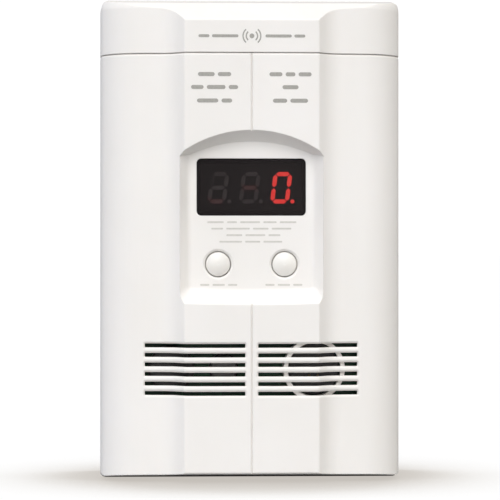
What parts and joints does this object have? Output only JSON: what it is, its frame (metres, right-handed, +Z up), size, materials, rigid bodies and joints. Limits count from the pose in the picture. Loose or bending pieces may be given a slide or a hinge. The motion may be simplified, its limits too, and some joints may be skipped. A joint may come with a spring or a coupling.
{
  "type": "carbon monoxide detector",
  "caption": "Upright plug-in gas and carbon monoxide alarm with a recessed digital display, two push buttons, slotted sounder grille, hinged battery door and a slide-out plug adapter.",
  "frame": {"origin": "middle of the flat wall face at the back of the alarm", "axes": "+X to the right seen from the front, +Z up, front looks along -Y, wall face looks along +Y"},
  "size_m": [0.0952, 0.0611, 0.1524],
  "materials": {
    "shell": "fine satin grain",
    "button": "smooth satin",
    "tray": "plain moulded",
    "window": "dark tinted, polished",
    "display": "matt dark grey",
    "segment_off": "diffusing, unlit",
    "segment_on": "diffusing, lit red",
    "foam": "soft foam",
    "black_plastic": "matt",
    "board": "solder mask over glass fibre",
    "chip": "matt moulding compound",
    "ceramic": "fired ceramic",
    "capacitor": "printed sleeve without print",
    "ferrite": "sintered",
    "steel": "zinc plated",
    "nickel": "nickel plated",
    "brass": "plain",
    "battery": "plain dark jacket",
    "red_wire": "insulation",
    "black_wire": "insulation",
    "adapter": "fine satin grain",
    "lamination": "stacked steel sheets, varnished",
    "winding": "yellow tape over copper"
  },
  "bodies": {
    "case": {"front_cover": "shell", "back_cover": "shell", "battery_tray": "tray", "battery_case": "battery", "battery_terminals": "nickel", "battery_contacts": "nickel", "contact_block": "black_plastic", "red_lead": "red_wire", "black_lead": "black_wire", "display_window": "window", "led_display_body": "display", "display_gasket": "foam", "unlit_segments": "segment_off", "lit_segments": "segment_on", "switch_housings": "black_plastic", "circuit_board": "board", "board_screws": "steel", "case_screws": "steel", "electrolytic_capacitors": "capacitor", "chip_packages": "chip", "chip_components": "ceramic", "voltage_regulator": "chip", "horn_inductor": "ferrite", "horn_housing": "black_plastic", "piezo_disc": "brass", "piezo_ceramic": "ceramic", "co_sensor_cell": "steel", "co_sensor_cap": "black_plastic", "gas_sensor_base": "black_plastic", "gas_sensor_can": "nickel", "gas_sensor_gauze": "nickel", "board_contact_pins": "brass"},
    "battery_door": {"battery_door": "shell"},
    "test_button": {"test_button": "button", "test_switch_plunger": "black_plastic"},
    "peak_button": {"peak_button": "button", "peak_switch_plunger": "black_plastic"},
    "adapter": {"adapter_housing": "adapter", "adapter_lid": "adapter", "plug_blades": "brass", "transformer_core": "lamination", "transformer_winding": "winding", "adapter_contact_sleeves": "brass"}
  },
  "joints": [
    {"name": "door_hinge", "type": "hinge", "parent": "case", "child": "battery_door", "pos_m": [0, -0.0045, 0.0717], "axis": [-1, 0, 0], "range_deg": [0, 90]},
    {"name": "test_button_press", "type": "slide", "parent": "case", "child": "test_button", "axis": [0, 1, 0], "range_m": [0, 0.0005], "stiffness_N_per_m": 800, "springref_m": -0.0012},
    {"name": "peak_button_press", "type": "slide", "parent": "case", "child": "peak_button", "axis": [0, 1, 0], "range_m": [0, 0.0005], "stiffness_N_per_m": 800, "springref_m": -0.0012},
    {"name": "adapter_slide", "type": "slide", "parent": "case", "child": "adapter", "axis": [0, 1, 0], "range_m": [0, 0.03]}
  ]
}
